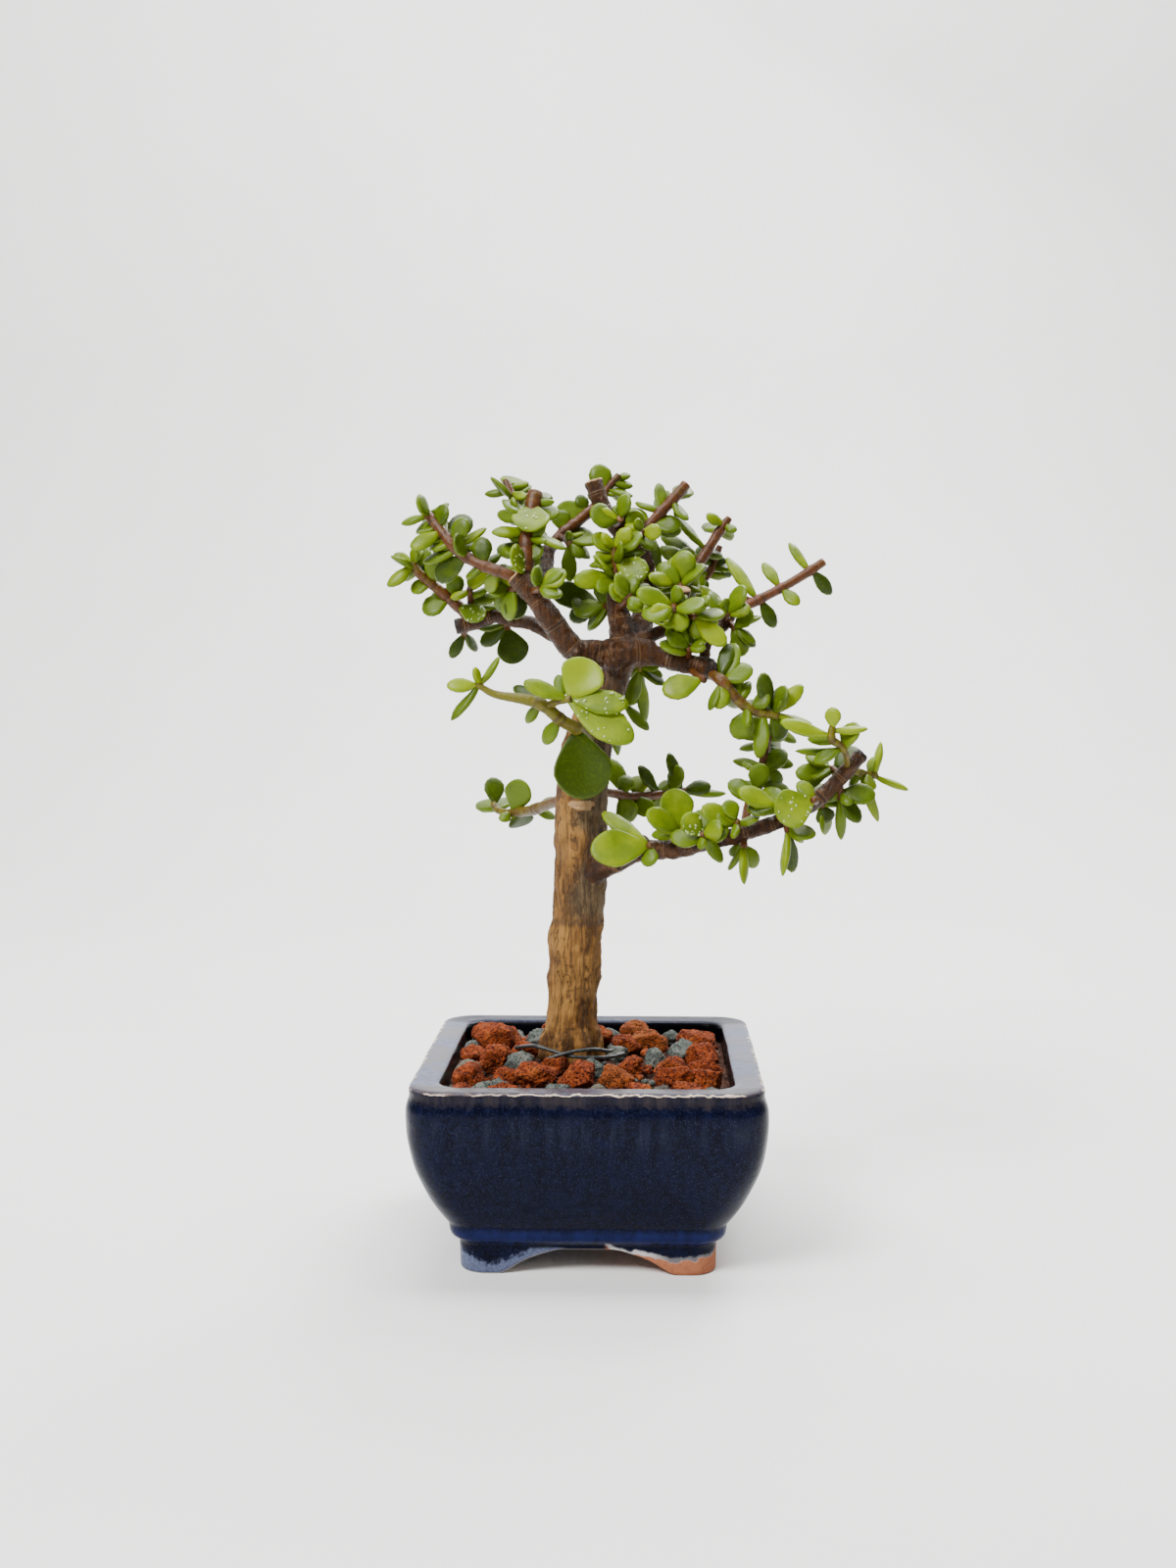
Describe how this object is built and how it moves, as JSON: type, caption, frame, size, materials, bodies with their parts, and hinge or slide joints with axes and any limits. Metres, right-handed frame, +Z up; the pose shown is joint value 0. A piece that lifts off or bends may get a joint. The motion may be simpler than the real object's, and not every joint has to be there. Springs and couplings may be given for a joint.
{
  "type": "potted dwarf jade bonsai",
  "caption": "Dwarf jade bonsai: a stout upright trunk with a leafy branching crown of small round succulent leaves, in a square glazed footed pot topped with lava gravel.",
  "frame": {"origin": "centre of the overall bounding box at table level", "axes": "+Z up along the trunk, +Y away from the front, X along the front of the pot with +X toward the long lower branch"},
  "size_m": [0.1578, 0.107, 0.2338],
  "materials": {
    "glaze": "glossy mottled navy glaze with a pale worn rim and one bare terracotta foot",
    "mesh_black": "matte black plastic screen",
    "soil_brown": "crumbly dark potting mix",
    "grit_grey": "rough speckled grey grit",
    "lava_red": "porous matte red lava stone",
    "wire_dark": "dark soft tie wire",
    "bark": "brown cracked bark, smoother and redder on the limbs",
    "leaf_green": "smooth fleshy leaf with a soft waxy shine"
  },
  "bodies": {
    "root": {"drain_mesh": "mesh_black", "grey_grit": "grit_grey", "lava_gravel": "lava_red", "pot": "glaze", "soil": "soil_brown", "spray_back_twig": "leaf_green", "spray_big_low": "leaf_green", "spray_big_oval": "leaf_green", "spray_bright_pair": "leaf_green", "spray_broad_wet": "leaf_green", "spray_crown_right": "leaf_green", "spray_dark_back": "leaf_green", "spray_dark_under": "leaf_green", "spray_hang_middle": "leaf_green", "spray_hang_right": "leaf_green", "spray_junction_hang": "leaf_green", "spray_knob_front": "leaf_green", "spray_knob_low": "leaf_green", "spray_left_drop": "leaf_green", "spray_left_fork": "leaf_green", "spray_left_hang": "leaf_green", "spray_left_inner": "leaf_green", "spray_left_low": "leaf_green", "spray_left_pair": "leaf_green", "spray_left_small": "leaf_green", "spray_left_stub": "leaf_green", "spray_left_tip": "leaf_green", "spray_light_big": "leaf_green", "spray_long_right": "leaf_green", "spray_low_left": "leaf_green", "spray_low_right": "leaf_green", "spray_middle": "leaf_green", "spray_middle_low": "leaf_green", "spray_pale_left": "leaf_green", "spray_pale_middle": "leaf_green", "spray_right_back": "leaf_green", "spray_right_curl": "leaf_green", "spray_right_drop": "leaf_green", "spray_right_end": "leaf_green", "spray_right_stick": "leaf_green", "spray_right_tip": "leaf_green", "spray_right_top": "leaf_green", "spray_round_wet": "leaf_green", "spray_small_lime": "leaf_green", "spray_top": "leaf_green", "spray_top_face": "leaf_green", "spray_top_right": "leaf_green", "spray_trunk_back": "leaf_green", "spray_upright_right": "leaf_green", "spray_wet_round": "leaf_green", "tie_wire": "wire_dark", "trunk": "bark"}
  },
  "joints": []
}
